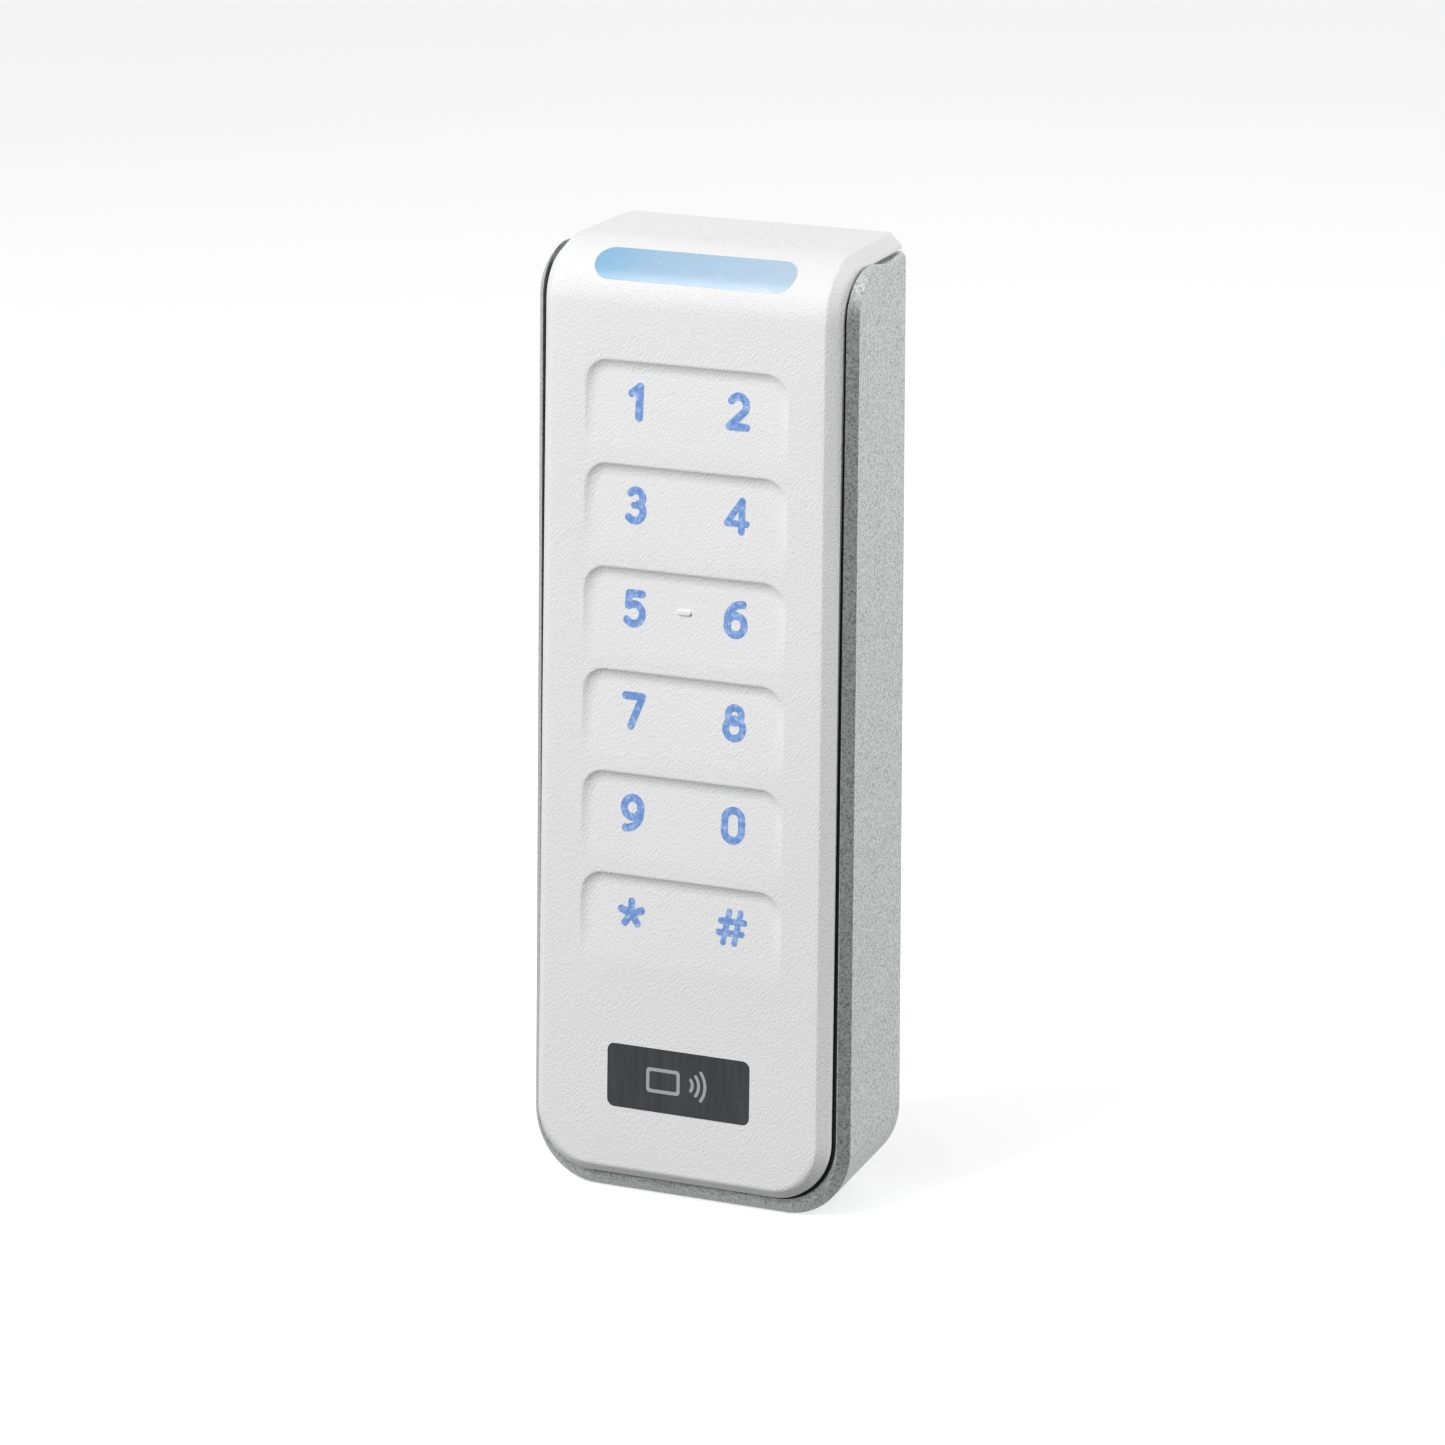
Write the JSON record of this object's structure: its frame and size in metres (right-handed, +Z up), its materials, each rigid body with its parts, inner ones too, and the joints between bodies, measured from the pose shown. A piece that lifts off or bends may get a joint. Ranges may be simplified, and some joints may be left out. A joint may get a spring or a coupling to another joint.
{
  "type": "rfid card reader",
  "caption": "Slim wall-mounted card reader with a backlit touch keypad, light bar and inlaid badge, on a wall plate with pluggable terminals.",
  "frame": {"origin": "midway between the two wall screw holes, on the plate's wall face", "axes": "+Z up, -Y out of the front face towards the user, +X to the right seen from the front"},
  "size_m": [0.045, 0.0215, 0.1215],
  "materials": {
    "cover_white": "fine moulded texture",
    "housing_silver": "speckled silver paint",
    "legend_blue": "translucent blue insert",
    "light_lens": "frosted light bar",
    "clear_plastic": "clear moulding",
    "badge_charcoal": "dark glossy inlay",
    "badge_mark": "light grey print",
    "gasket_rubber": "soft seal",
    "plate_black": "moulded texture",
    "steel_fastener": "plated steel",
    "led_white": "clear package",
    "board_green": "circuit board",
    "copper": "bare copper",
    "tin_metal": "tin plate",
    "chip_black": "moulded package",
    "relay_grey": "moulded case",
    "capacitor_can": "drawn can",
    "connector_cream": "moulded shell",
    "ferrite": "sintered",
    "terminal_green": "moulded shell"
  },
  "bodies": {
    "mount": {"mounting_plate": "plate_black"},
    "reader": {"badge_icon": "badge_mark", "badge_plate": "badge_charcoal", "board_connector": "connector_cream", "board_screws": "steel_fastener", "capacitor_left": "capacitor_can", "capacitor_right": "capacitor_can", "cover_gasket": "gasket_rubber", "crystal": "tin_metal", "edge_seal": "gasket_rubber", "front_cover": "cover_white", "header_lower": "terminal_green", "header_pins_lower": "tin_metal", "header_pins_upper": "tin_metal", "header_upper": "terminal_green", "hf_antenna": "copper", "key_0": "legend_blue", "key_1": "legend_blue", "key_2": "legend_blue", "key_3": "legend_blue", "key_4": "legend_blue", "key_5": "legend_blue", "key_6": "legend_blue", "key_7": "legend_blue", "key_8": "legend_blue", "key_9": "legend_blue", "key_hash": "legend_blue", "key_star": "legend_blue", "keypad_leds": "led_white", "keypad_light_guide": "clear_plastic", "keypad_sensor_board": "board_green", "lf_ferrite_rod": "ferrite", "lf_winding": "copper", "light_bar_lens": "light_lens", "light_pipe": "clear_plastic", "main_board": "board_green", "memory_chip": "chip_black", "microcontroller": "chip_black", "power_coil": "chip_black", "radio_chip": "chip_black", "rear_housing": "housing_silver", "relay": "relay_grey", "shield_can": "tin_metal", "sounder": "chip_black", "status_leds": "led_white", "tamper_sensor": "chip_black"},
    "terminal_plug_upper": {"plug_upper": "terminal_green", "plug_screws_upper": "steel_fastener"},
    "terminal_plug_lower": {"plug_lower": "terminal_green", "plug_screws_lower": "steel_fastener"},
    "security_screw": {"security_screw": "steel_fastener"}
  },
  "joints": [
    {"name": "reader_tilt", "type": "hinge", "parent": "mount", "child": "reader", "pos_m": [0, -0.0019, 0.0568], "axis": [-1, 0, 0], "range_deg": [0, 10]},
    {"name": "plug_upper_pull", "type": "slide", "parent": "reader", "child": "terminal_plug_upper", "axis": [0, 1, 0], "range_m": [0, 0.008]},
    {"name": "plug_lower_pull", "type": "slide", "parent": "reader", "child": "terminal_plug_lower", "axis": [0, 1, 0], "range_m": [0, 0.008]},
    {"name": "security_screw_back_out", "type": "slide", "parent": "reader", "child": "security_screw", "axis": [0, 0, -1], "range_m": [0, 0.008]}
  ]
}
